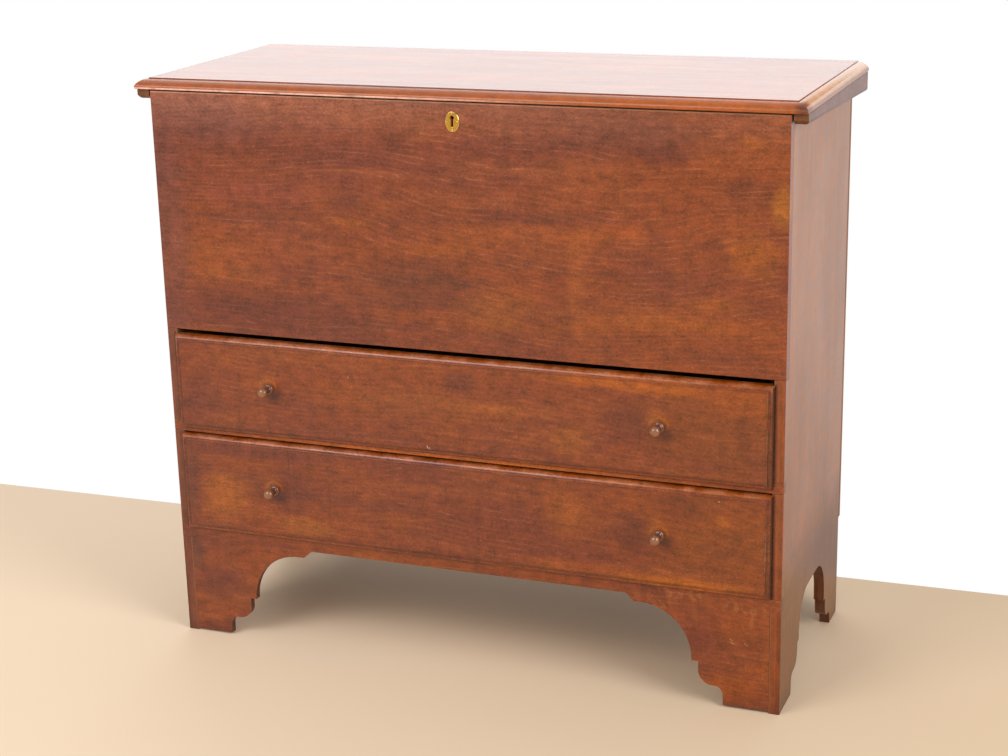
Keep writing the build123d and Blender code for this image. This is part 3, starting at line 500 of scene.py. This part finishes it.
class OldIron(Finish):
    """Wrought or cast iron, brown-black, with rust where it has been rubbed or damp."""

    def __init__(self, name, dark, rust):
        super().__init__(name)
        x, y, z = self.x, self.y, self.z
        bloom = self.smooth(self.noise(x * 160, y * 160, z * 160, 4.0, 0.6), 0.42, 0.68)
        pits = self.noise(x * 900, y * 900, z * 900, 3.0, 0.6)
        colour = self.blend(bloom * 0.8, dark, rust)
        self.done = self.close(colour, 0.42 + bloom * 0.3, pits, 0.0002, **{"Metallic": 0.75})


iron = OldIron("dark_iron", stain(58, 50, 46), stain(104, 66, 44)).done

nails = Jig("cut nail jig")
for wanted in ("Head", "Head thickness", "Shank", "Length", "Turn", "Lean", "Seed"):
    nails.size(wanted)
nails.size("Outward", "Vector")
nails.size("Finish", "Material")
head, thickness, shank, length, turn, lean, seed, outward, finish = nails.open()
crown = nails.add("GeometryNodeMeshCone", None, {
    "Vertices": 4, "Side Segments": 2, "Radius Top": head * 0.45, "Radius Bottom": head * 0.62, "Depth": thickness})
crown = nails.add("GeometryNodeTransform", None, {
    "Geometry": crown, "Translation": nails.add("ShaderNodeCombineXYZ", None, {2: thickness * -1.0}),
    "Rotation": (0.0, 0.0, math.radians(45))})
stem = nails.add("GeometryNodeMeshCone", None, {
    "Vertices": 4, "Side Segments": 1, "Radius Top": shank * 0.7, "Radius Bottom": shank * 0.35, "Depth": length})
stem = nails.add("GeometryNodeTransform", None, {
    "Geometry": stem, "Translation": nails.add("ShaderNodeCombineXYZ", None, {2: length * -1.0}),
    "Rotation": (0.0, 0.0, math.radians(45))})
nail = nails.add("GeometryNodeJoinGeometry", None, {})
for part in (crown, stem):
    nails.tree.links.new(part.socket, nail.socket.node.inputs[0])
nails.piece_at_marks(nail, outward, turn, lean, seed, finish)


def drive_nails(node, body, axis, sign, seed, length):
    """Sets cut nails where a group's own nails have their heads, and lets them stand for the group."""
    outward = [0.0, 0.0, 0.0]
    outward[axis] = float(sign)
    nails.run(node + "_driven", heads(node, axis, sign), body, [node], "iron", Head=0.0046, Head_thickness=0.0010,
              Shank=0.0024, Length=length, Turn=0.3, Lean=0.02, Seed=float(seed), Outward=outward, Finish=iron)


drive_nails("back_nails", "case", 1, 1, 3, 0.038)
clad("runner_nails", iron)

# The lid. One wide board with a thumbnail moulding on its front and ends, on two cleats that are nailed
# under its ends. The top has the best of the varnish, with a few dents and worn corners, and the underside is bare.
# Painted sheen: the lid's varnish is made lighter than the front's (0.95 against 0.64), for the light on its top.
lid = OldVarnish("lid_varnish", "lid", 31.3, (0.05, -0.80, 0.05), 0.95)
lid.shade = lid.shade * 0.6 + (lid.streak - 0.5) * 0.25
lid.gloss = 0.33 + (lid.mottle - 0.5) * 0.10 + (lid.streak - 0.5) * 0.08
for mark_x, mark_y in ((0.039, 0.058), (0.086, 0.050), (0.394, 0.026), (0.445, 0.027)):
    lid.scratch(mark_x, mark_y, 0.012, 0.3, stain(60, 30, 24), 0.8, 0.0016)
lid.scratch(0.537, 0.049, 0.030, 0.2, stain(220, 190, 160), 0.5, 0.0010)
lid_low, lid_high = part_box("lid_board")
step_place = 0.0178
moulding = (lid.y - lid_low.y).least((lid.x - lid_low.x).least(lid_high.x - lid.x))
lid.colour = lid.blend(lid.smooth(moulding, 0.0185, 0.014) * 0.60, lid.colour, stain(176, 96, 46))
lid.colour = lid.blend(lid.smooth(abs(moulding - step_place), 0.0010, 0.0) * 0.5, lid.colour, stain(96, 42, 28))
# Painted highlight: a broken pale pink line along the lower arris of the lid's moulding, on its left part.
painted_arris_highlight_lid = lid.smooth(lid.z, lid_low.z + 0.0042, lid_low.z + 0.0024) * lid.smooth(lid.x, 0.25, -0.15)
broken_highlight = lid.smooth(lid.noise(lid.x * 26, 0.0, 3.0, 4.0, 0.6), 0.30, 0.55)
lid.colour = lid.blend(painted_arris_highlight_lid * (0.45 + broken_highlight * 0.5), lid.colour, stain(252, 204, 192))
lid.bare_side(lid.z, lid_low.z + 0.0001, lid_low.z + 0.0005)
# Painted sheen: a pale beige strip on the right end moulding of the lid, at its front.
painted_end_sheen = lid.smooth(lid.x, lid_high.x - 0.0185, lid_high.x - 0.0150) * lid.smooth(lid.y, -0.190, -0.170)
lid.colour = lid.blend(painted_end_sheen * 0.65, lid.colour, stain(214, 168, 138))
lid.patch(0.543, -0.204, 0.015, 0.016, stain(84, 44, 32), 0.70, 0.4)
lid.scratch(0.541, -0.178, 0.012, 1.4, stain(60, 34, 26), 0.8, 0.0010)
lid.scratch(0.5395, -0.021, 0.004, 0.4, stain(44, 26, 20), 0.9, 0.0018)
worn_copy("lid_board", "lid", lid.finished(coat=0.24), 0.0007)
for side, name in ((-1, "cleat_left"), (1, "cleat_right")):
    cleat = OldVarnish(name + "_varnish", "lid", 41.0 + side, (0.0, 0.3, 0.1))
    cleat.patch(side * 0.54, -0.19, 0.04, 0.03, stain(134, 86, 44), 0.7, 0.2)
    worn_copy(name, "lid", cleat.finished(), 0.0012)
drive_nails("cleat_nails", "lid", 2, -1, 5, 0.03)

# The two hinges at the back: plain butt hinges of wrought iron. One leaf is let in under the lid, and the other
# lies on the outside of the back board. A pin runs through the knuckles, and the screws are slotted.
for node in ("hinge_case_leaves", "hinge_lid_leaves", "hinge_pins"):
    clad(node, iron)

screws = Jig("slotted screw jig")
for wanted in ("Head radius", "Head height", "Shank radius", "Length", "Slot", "Turn", "Seed"):
    screws.size(wanted)
screws.size("Outward", "Vector")
screws.size("Finish", "Material")
radius, height, shank, length, slot, turn, seed, outward, finish = screws.open()
cone = screws.add("GeometryNodeMeshCone", None, {
    "Vertices": 28, "Radius Top": radius, "Radius Bottom": shank, "Depth": height})
cone = screws.add("GeometryNodeTransform", None, {
    "Geometry": cone, "Translation": screws.add("ShaderNodeCombineXYZ", None, {2: height * -1.0})})
groove = screws.add("GeometryNodeMeshCube", None, {
    "Size": screws.add("ShaderNodeCombineXYZ", None, {0: radius * 4.0, 1: slot, 2: slot * 2.0})})
slotted = screws.add("GeometryNodeMeshBoolean", {"operation": "DIFFERENCE"}, {0: cone, 1: groove})
stem = screws.add("GeometryNodeMeshCone", None, {
    "Vertices": 12, "Radius Top": shank * 0.95, "Radius Bottom": shank * 0.4, "Depth": length - height * 0.8})
stem = screws.add("GeometryNodeTransform", None, {
    "Geometry": stem, "Translation": screws.add("ShaderNodeCombineXYZ", None, {2: length * -1.0})})
screw = screws.add("GeometryNodeJoinGeometry", None, {})
for part in (slotted, stem):
    screws.tree.links.new(part.socket, screw.socket.node.inputs[0])
screws.piece_at_marks(screw, outward, turn, 0.0, seed, finish)


def drive_screws(node, body, axis, sign, seed, length):
    """Sets slotted screws where a group's own screws have their heads, and lets them stand for the group."""
    outward = [0.0, 0.0, 0.0]
    outward[axis] = float(sign)
    screws.run(node + "_driven", heads(node, axis, sign), body, [node], "iron", Head_radius=0.0034,
               Head_height=0.0018, Shank_radius=0.0017, Length=length, Slot=0.0008, Turn=1.6, Seed=float(seed),
               Outward=outward, Finish=iron)


drive_screws("hinge_case_screws", "case", 2, 1, 11, 0.010)
drive_screws("hinge_lid_screws", "lid", 2, -1, 12, 0.010)

# The chest lock, let into the back of the front panel, with its bolt and the strike plate under the lid.
# Iron, fixed with small slotted screws.
lock_iron = OldIron("lock_iron", stain(74, 68, 62), stain(110, 72, 48)).done
for node in ("lock_case", "lock_bolt", "strike_plate"):
    clad(node, lock_iron)
drive_screws("lock_screws", "case", 1, 1, 13, 0.007)
drive_screws("strike_screws", "lid", 2, -1, 14, 0.007)


# The escutcheon: an oval of thin cast brass with a keyhole through it, held by four brass pins.
# Bright where it is rubbed, brown in the corners.
class OldBrass(Finish):
    """Brass that has been polished for years, with brown left where the cloth doesn't reach."""

    def __init__(self, name, middle, half_wide, half_high, bright):
        super().__init__(name)
        x, y, z = self.x, self.y, self.z
        patina = self.smooth(self.noise(x * 240, y * 240, z * 240, 4.0, 0.6), 0.48, 0.7)
        across, up = (x - middle.x) * (1 / half_wide), (z - middle.z) * (1 / half_high)
        rim = self.smooth((across * across + up * up) ** 0.5, 0.86, 1.0)
        colour = self.blend(patina * 0.50, bright, stain(140, 88, 40))
        colour = self.blend(rim * 0.60, colour, stain(252, 222, 150))
        rub = self.noise(x * 2400, y * 900, z * 300, 2.0)
        self.done = self.close(colour, 0.20 + patina * 0.16, rub, 0.00008, **{"Metallic": 1.0})


brass_low, brass_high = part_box("escutcheon")
brass_sizes = ((brass_low + brass_high) / 2, (brass_high.x - brass_low.x) / 2, (brass_high.z - brass_low.z) / 2)
brass = OldBrass("old_brass", *brass_sizes, stain(236, 190, 84)).done
worn_copy("escutcheon", "case", brass, 0.00025, 0.0)

pins = Jig("brass pin jig")
for wanted in ("Head radius", "Head height", "Shank radius", "Length", "Turn", "Seed"):
    pins.size(wanted)
pins.size("Outward", "Vector")
pins.size("Finish", "Material")
radius, height, shank, length, turn, seed, outward, finish = pins.open()
ball = pins.add("GeometryNodeMeshUVSphere", None, {"Segments": 20, "Rings": 12, "Radius": radius})
ball = pins.add("GeometryNodeTransform", None, {
    "Geometry": ball, "Translation": pins.add("ShaderNodeCombineXYZ", None, {2: height * -1.0}),
    "Scale": pins.add("ShaderNodeCombineXYZ", None, {0: 1.0, 1: 1.0, 2: height / radius})})
stem = pins.add("GeometryNodeMeshCone", None, {
    "Vertices": 10, "Radius Top": shank, "Radius Bottom": shank * 0.4, "Depth": length - height})
stem = pins.add("GeometryNodeTransform", None, {
    "Geometry": stem, "Translation": pins.add("ShaderNodeCombineXYZ", None, {2: length * -1.0})})
pin = pins.add("GeometryNodeJoinGeometry", None, {})
for part in (ball, stem):
    pins.tree.links.new(part.socket, pin.socket.node.inputs[0])
pins.piece_at_marks(pin, outward, turn, 0.0, seed, finish)
pins.run("escutcheon_pins_driven", heads("escutcheon_pins", 1, -1), "case", ["escutcheon_pins"], "brass",
         Head_radius=0.0013, Head_height=0.0007, Shank_radius=0.0006, Length=0.0070, Turn=1.0, Seed=21.0,
         Outward=(0.0, -1.0, 0.0), Finish=OldBrass("rubbed_pins", *brass_sizes, stain(246, 216, 170)).done)

# The drawer fronts. Each has a lip all round that covers its opening, with a thumbnail moulding and a fine
# step worked on it. Hands have worn the varnish orange round the knobs; below and right of each it is darker.
for level, seed in (("upper", 53.0), ("lower", 67.5)):
    node = level + "_drawer_front"
    low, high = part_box(node)
    front = OldVarnish(level + "_drawer_varnish", "x", seed, (0.12, 0.24, 0.10))
    front.patch(0.43, (low.z + high.z) / 2, 0.14, 0.085, stain(160, 88, 38), 0.45, 0.6)
    if level == "upper":
        front.patch(-0.05, 0.455, 0.200, 0.030, stain(172, 96, 46), 0.35, 0.9)
        front.patch(0.29, high.z - 0.014, 0.16, 0.016, stain(204, 108, 42), 0.75)
        front.patch(0.45, high.z - 0.03, 0.08, 0.03, stain(180, 92, 42), 0.5)
        front.patch(0.188, 0.425, 0.045, 0.026, stain(188, 108, 50), 0.6)
        front.patch(0.05, 0.463, 0.08, 0.012, stain(186, 104, 52), 0.45)
        front.patch(0.006, 0.499, 0.035, 0.019, stain(112, 60, 48), 0.55)
        front.patch(0.28, 0.465, 0.045, 0.030, stain(120, 60, 46), 0.55)
        front.patch(-0.46, 0.42, 0.05, 0.05, stain(128, 66, 54), 0.4)
        front.scratch(-0.19, 0.492, 0.008, 1.2, stain(230, 180, 140))
        front.scratch(-0.054, 0.386, 0.010, 1.9, stain(236, 200, 166), 0.8, 0.0010)
        front.scratch(-0.050, 0.384, 0.007, 1.9, stain(236, 200, 166), 0.8, 0.0009)
    else:
        front.patch(-0.431, 0.262, 0.050, 0.055, stain(190, 106, 50), 0.85)
        front.patch(-0.492, 0.275, 0.018, 0.08, stain(118, 68, 56), 0.6)
        front.patch(-0.36, 0.343, 0.15, 0.014, stain(124, 62, 54), 0.6)
        front.patch(-0.31, 0.285, 0.05, 0.05, stain(122, 62, 52), 0.5)
        front.patch(-0.278, 0.222, 0.055, 0.018, stain(184, 108, 50), 0.6)
        front.patch(0.182, 0.298, 0.045, 0.045, stain(182, 100, 48), 0.55)
        front.patch(0.193, 0.211, 0.10, 0.016, stain(186, 96, 46), 0.55)
        front.patch(0.38, 0.204, 0.13, 0.013, stain(206, 112, 42), 0.85)
        front.patch(0.434, 0.316, 0.013, 0.011, stain(196, 108, 48), 0.75, 0.3)
        front.scratch(0.4275, 0.348, 0.003, 0.8, stain(236, 196, 160), 0.8, 0.0012)
        front.patch(0.29, 0.28, 0.04, 0.035, stain(116, 58, 46), 0.6)
        front.patch(0.37, 0.33, 0.05, 0.03, stain(122, 60, 42), 0.45)
        joint = front.smooth(abs(front.x + 0.307), 0.0008, 0.0002) * front.smooth(front.z, 0.318, 0.322)
        front.colour = front.blend(joint * 0.8, front.colour, stain(70, 34, 26))
    for side in ("left", "right"):
        knob_low, knob_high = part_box(level + "_drawer_knob_" + side)
        knob_x, knob_z = (knob_low.x + knob_high.x) / 2, (knob_low.z + knob_high.z) / 2
        front.patch(knob_x - 0.002, knob_z + 0.010, 0.022, 0.020, stain(190, 104, 50), 0.55, 0.25)
        # Below and to the right of each knob the front is made darker.
        front.patch(knob_x + 0.008, knob_z - 0.008, 0.022, 0.018, stain(86, 44, 34), 0.65, 0.25)
        across, up = front.x - knob_x, front.z - knob_z
        reach = (across * across + up * up) ** 0.5
        halo = front.smooth(abs(reach - 0.0150), 0.0034, 0.0004) * front.smooth(up, -0.004, 0.010)
        front.colour = front.blend(halo * 0.45, front.colour, stain(212, 126, 68))
    rim = (front.z - low.z).least((high.z - front.z).least((front.x - low.x).least(high.x - front.x)))
    upper_edge = front.smooth(front.z, high.z - 0.012, high.z - 0.006)
    patchy = front.smooth(front.noise(front.x * 22 + seed, front.z * 30, 0.0, 4.0, 0.65), 0.40, 0.62)
    # A darker line along the fillet step of the moulding, fainter along the top edge.
    darker_mask = front.smooth(abs(rim - 0.0082), 0.0042, 0.0008) * (0.40 + patchy * 0.25)
    front.colour = front.blend(darker_mask * (1 - upper_edge * 0.7), front.colour, stain(104, 50, 27))
    # Painted shade: at the right end the outer part of the moulding is darkened, for the shade on the side of the lip.
    right_end = front.smooth(front.x, high.x - 0.0125, high.x - 0.0100)
    front.colour = front.blend(right_end * front.smooth(rim, 0.0075, 0.0060) * 0.45, front.colour, stain(106, 56, 32))
    worn_step = front.smooth(abs(rim - 0.0092), 0.0013, 0.0002) * right_end * patchy
    front.colour = front.blend(worn_step * 0.45, front.colour, stain(212, 148, 104))
    # Painted shade: the lip's faces that turn sideways, up or down are darkened, except along the top edge, for the
    # shade in the gaps round the drawer.
    painted_shade_lip_sides = front.smooth(front.facing[0], 0.35, 0.75)
    under = front.smooth(front.facing[1], 0.35, 0.1) * (1 - upper_edge * 0.9)
    front.colour = front.blend((painted_shade_lip_sides * 0.75).most(under * 0.75), front.colour, stain(52, 24, 18))
    # Painted light: the upward-facing top edge of the front is made a brighter orange, for the light falling on it.
    painted_light_top_edge = upper_edge * front.smooth(front.facing[2], 0.3, 0.8)
    front.colour = front.blend(painted_light_top_edge * 0.55, front.colour, stain(184, 92, 34))
    front.gloss = front.gloss - front.smooth(rim, 0.0085, 0.006) * 0.12
    # Partly wear, partly painted highlight: the moulding's nose is lightened a little all round where rubbed, and much
    # more along the top edge, for the highlight there.
    rubbed_and_highlight = front.smooth(rim, 0.0065, 0.0025) * patchy * (1 - under) * (1 - painted_shade_lip_sides) * (0.16 + upper_edge * 0.44)
    front.bare_side(front.y, high.y - 0.0004, high.y - 0.0020)
    worn_copy(node, level + "_drawer", front.finished(rubbed_and_highlight), 0.0006)

# The drawer boxes. Sides dovetailed to the front, a back and a bottom, all of bare pine, held with cut nails.
for level in ("upper", "lower"):
    for part, pine in (("side_left", pine_deep), ("side_right", pine_deep), ("back", pine_across),
                       ("bottom", pine_across)):
        clad(level + "_drawer_" + part, pine)
    clad(level + "_drawer_nails", iron)

# The knobs. Four small turned knobs, each with a flange, a neck and a mushroom tip, and a tenon glued
# through the drawer front. A lighter wood than the fronts, darkened by handling.
knob_length = 0.028
for node in (level + "_drawer_knob_" + side for level in ("upper", "lower") for side in ("left", "right")):
    low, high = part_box(node)
    centre = Vector(((low.x + high.x) / 2, low.y, (low.z + high.z) / 2))
    tenon = high.y - low.y - knob_length
    profile = [(0.0, -tenon), (0.0043, -tenon), (0.0045, -tenon + 0.0004), (0.0045, 0.0), (0.0085, 0.0),
               (0.0087, 0.0005), (0.0087, 0.0019), (0.0083, 0.0027), (0.0072, 0.0034), (0.0060, 0.0041),
               (0.0053, 0.0050), (0.0048, 0.0064), (0.0045, 0.0080), (0.0044, 0.0097), (0.0046, 0.0114),
               (0.0052, 0.0132), (0.0061, 0.0151), (0.0071, 0.0170), (0.0079, 0.0188), (0.0082, 0.0206),
               (0.0081, 0.0223), (0.0076, 0.0240), (0.0066, 0.0255), (0.0050, 0.0268), (0.0029, 0.0277),
               (0.0, 0.0280)]
    shape = bmesh.new()
    line = [shape.verts.new((r, 0.0, z)) for r, z in profile]
    edges = [shape.edges.new(pair) for pair in zip(line, line[1:])]
    bmesh.ops.spin(shape, geom=line + edges, cent=(0, 0, 0), axis=(0, 0, 1), angle=2 * math.pi, steps=48,
                   use_merge=True)
    bmesh.ops.remove_doubles(shape, verts=shape.verts, dist=1e-6)
    bmesh.ops.recalc_face_normals(shape, faces=shape.faces)
    stand = Matrix.Translation(Vector((centre.x, low.y + knob_length, centre.z))) @ Matrix.Rotation(
        math.radians(90), 4, "X")
    bmesh.ops.transform(shape, matrix=stand, verts=shape.verts)
    mesh = bpy.data.meshes.new(node + "_turned")
    shape.to_mesh(mesh)
    shape.free()
    knob = bpy.data.objects.new(node + "_turned", mesh)
    bpy.context.collection.objects.link(knob)
    wood = Finish(node + "_wood")
    grain = wood.noise((wood.x - centre.x) * 300, (wood.y - centre.y) * 60, (wood.z - centre.z) * 300, 4.0)
    worn = wood.smooth(wood.y + grain * 0.006, centre.y + 0.014, centre.y + 0.004)
    neck = wood.smooth(abs(wood.y - centre.y - 0.0195), 0.0060, 0.0030)
    colour = wood.blend(grain, stain(136, 80, 47), stain(80, 42, 26))
    colour = wood.blend(worn * 0.45, colour, stain(168, 110, 72))
    colour = wood.blend(neck * 0.6, colour, stain(60, 30, 20))
    mesh.materials.append(wood.close(colour, 0.24 + grain * 0.12, grain, 0.0005, **{
        "Coat Weight": 0.8, "Coat Roughness": 0.08}))
    mesh.shade_smooth()
    mesh.set_sharp_from_angle(angle=math.radians(40))
    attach(knob, node[:12])
    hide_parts(node)

# The floor: plain and pale, running back to the foot of a white wall that is only the white of the world.
# Its colour is painted paler at the left and darker to the right, and a shadow is painted under the chest.
floor_mesh = bpy.data.meshes.new("floor")
floor_mesh.from_pydata([(-6.0, -7.0, 0.0), (6.0, -7.0, 0.0), (6.0, 0.52, 0.0), (-6.0, 0.20, 0.0)], [], [(0, 1, 2, 3)])
floor = bpy.data.objects.new("floor", floor_mesh)
bpy.context.collection.objects.link(floor)
boards = Finish("pale_floor")
cast = boards.noise(boards.x * 0.8, boards.y * 3.0, 0.0, 3.0)
# Painted light: paler at the left, darker toward the right.
floor_colour = boards.blend(boards.smooth(boards.x + cast * 0.3, -0.6, 1.5), stain(243, 218, 188), stain(210, 184, 152))
# Painted shadow: darker under the back half of the chest.
shaded = boards.smooth(abs(boards.x), 0.56, 0.36) * boards.smooth(boards.y, -0.18, 0.12)
shaded = shaded * boards.smooth(boards.y, 0.36, 0.24)
floor_colour = boards.blend(shaded * 0.70, floor_colour, stain(128, 108, 84))
floor_mesh.materials.append(boards.close(floor_colour, 0.75 + cast * 0.05, cast, 0.0001))

# The room. The camera sees it plain white, and polish mirrors it bright from behind the chest and dim from the
# front, with the floor's shade low down. Its own light is even and soft.
world = bpy.data.worlds.new("pale room")
bpy.context.scene.world = world
world.use_nodes = True
room = Bench()
room.tree = world.node_tree
room.tree.nodes.clear()
path = room.tree.nodes.new("ShaderNodeLightPath")
seen = Tone(room, path.outputs["Is Camera Ray"])
mirrored = Tone(room, path.outputs["Is Glossy Ray"]).most(Tone(room, path.outputs["Is Transmission Ray"]))
direction = room.tree.nodes.new("ShaderNodeTexCoord")
away = room.add("ShaderNodeSeparateXYZ", None, {0: Tone(room, direction.outputs["Generated"])}, 1)
rising = Tone(room, away.socket.node.outputs[2])
behind = room.add("ShaderNodeMapRange", None, {0: away, 1: -0.2, 2: 0.6, 3: 0.35, 4: 1.0})
above = room.add("ShaderNodeMapRange", None, {0: rising, 1: -0.43, 2: -0.26, 3: 0.28, 4: 1.0})
strength = seen.most(mirrored * behind * above).most((1 - seen.most(mirrored)) * 0.54)
light = room.add("ShaderNodeBackground", None, {"Color": (1.0, 1.0, 1.0, 1.0), "Strength": strength})
room.add("ShaderNodeOutputWorld", None, {0: light})


# The lamps: two soft boxes in front of the chest and a weaker one behind it, as in a photographer's room.
def lamp(name, place, aim, width, height, watts):
    """A soft box at a place, turned to a point of the chest."""
    data = bpy.data.lights.new(name, "AREA")
    data.shape = "RECTANGLE"
    data.size = width
    data.size_y = height
    data.energy = watts
    box = bpy.data.objects.new(name, data)
    box.location = place
    box.rotation_euler = (Vector(aim) - Vector(place)).to_track_quat("-Z", "Y").to_euler()
    bpy.context.collection.objects.link(box)
    box.visible_camera = False


lamp("soft box left", (-1.9, -3.4, 2.8), (0.0, 0.0, 0.45), 2.6, 2.0, 91.0)
lamp("soft box right", (3.0, -1.4, 2.0), (0.3, 0.0, 0.5), 1.8, 1.8, 72.0)
lamp("soft box back", (-0.8, 3.2, 2.2), (0.0, 0.0, 0.9), 4.2, 2.4, 38.0)

# The camera stands to the right of the chest and looks down on it a little, as in the photograph.
camera_data = bpy.data.cameras.new("camera")
film_width, focal_length_pixels, photo_width_pixels = 36.0, 1952.6, 1008
camera_data.sensor_width = film_width
camera_data.lens = film_width * focal_length_pixels / photo_width_pixels
camera = bpy.data.objects.new("camera", camera_data)
bpy.context.collection.objects.link(camera)
yaw, pitch, roll = (math.radians(angle) for angle in (21.47, 16.95, -1.33))
ahead = Vector((-math.sin(yaw) * math.cos(pitch), math.cos(yaw) * math.cos(pitch), -math.sin(pitch)))
level_right = Vector((math.cos(yaw), math.sin(yaw), 0.0))
level_up = level_right.cross(ahead)
right = math.cos(roll) * level_right + math.sin(roll) * level_up
up = math.cos(roll) * level_up - math.sin(roll) * level_right
eye = (1.1473, -2.9255, 1.4030)
camera.matrix_world = Matrix.Translation(eye) @ Matrix((right, up, -ahead)).transposed().to_4x4()
bpy.context.scene.camera = camera
bpy.context.scene.view_settings.view_transform = "Standard"
